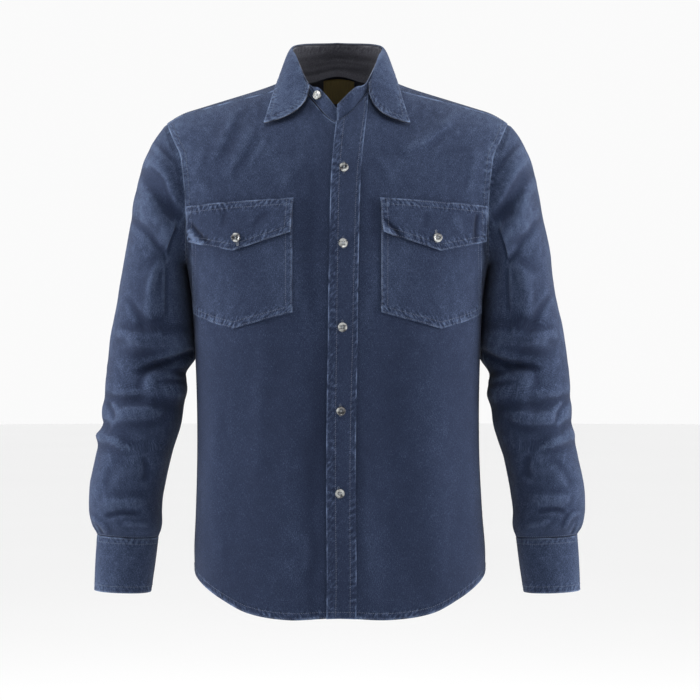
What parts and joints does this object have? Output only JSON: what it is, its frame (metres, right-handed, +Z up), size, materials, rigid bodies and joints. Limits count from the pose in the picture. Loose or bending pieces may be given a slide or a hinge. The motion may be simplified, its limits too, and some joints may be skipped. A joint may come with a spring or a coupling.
{
  "type": "denim shirt",
  "caption": "Long-sleeved denim shirt in its worn hollow form, with a button front, flapped chest pockets, pointed collar, cuffs and a curved hem.",
  "frame": {"origin": "the middle of the neck base, level with the shoulder seams, where the wearer's shoulders carry the shirt", "axes": "+Z up along the body, -Y to the front, +X to the wearer's left"},
  "size_m": [0.6944, 0.2694, 0.8138],
  "materials": {
    "denim": "dark indigo cotton twill, washed, with paler abraded edges",
    "button": "pearly grey-white shell, polished",
    "neck_label": "plain woven olive-brown tape, bare"
  },
  "bodies": {
    "root": {"front_left": "denim", "front_right": "denim", "back": "denim", "yoke": "denim", "placket": "denim", "pocket_left": "denim", "pocket_right": "denim", "flap_left": "denim", "flap_right": "denim", "sleeve_left": "denim", "sleeve_right": "denim", "cuff_left": "denim", "cuff_right": "denim", "sleeve_placket_left": "denim", "sleeve_placket_right": "denim", "collar_stand": "denim", "collar_leaf": "denim", "button_front_1": "button", "button_front_2": "button", "button_front_3": "button", "button_front_4": "button", "button_front_5": "button", "button_flap_left": "button", "button_flap_right": "button", "button_neck": "button", "button_cuff_left": "button", "button_cuff_right": "button", "neck_label": "neck_label"}
  },
  "joints": []
}
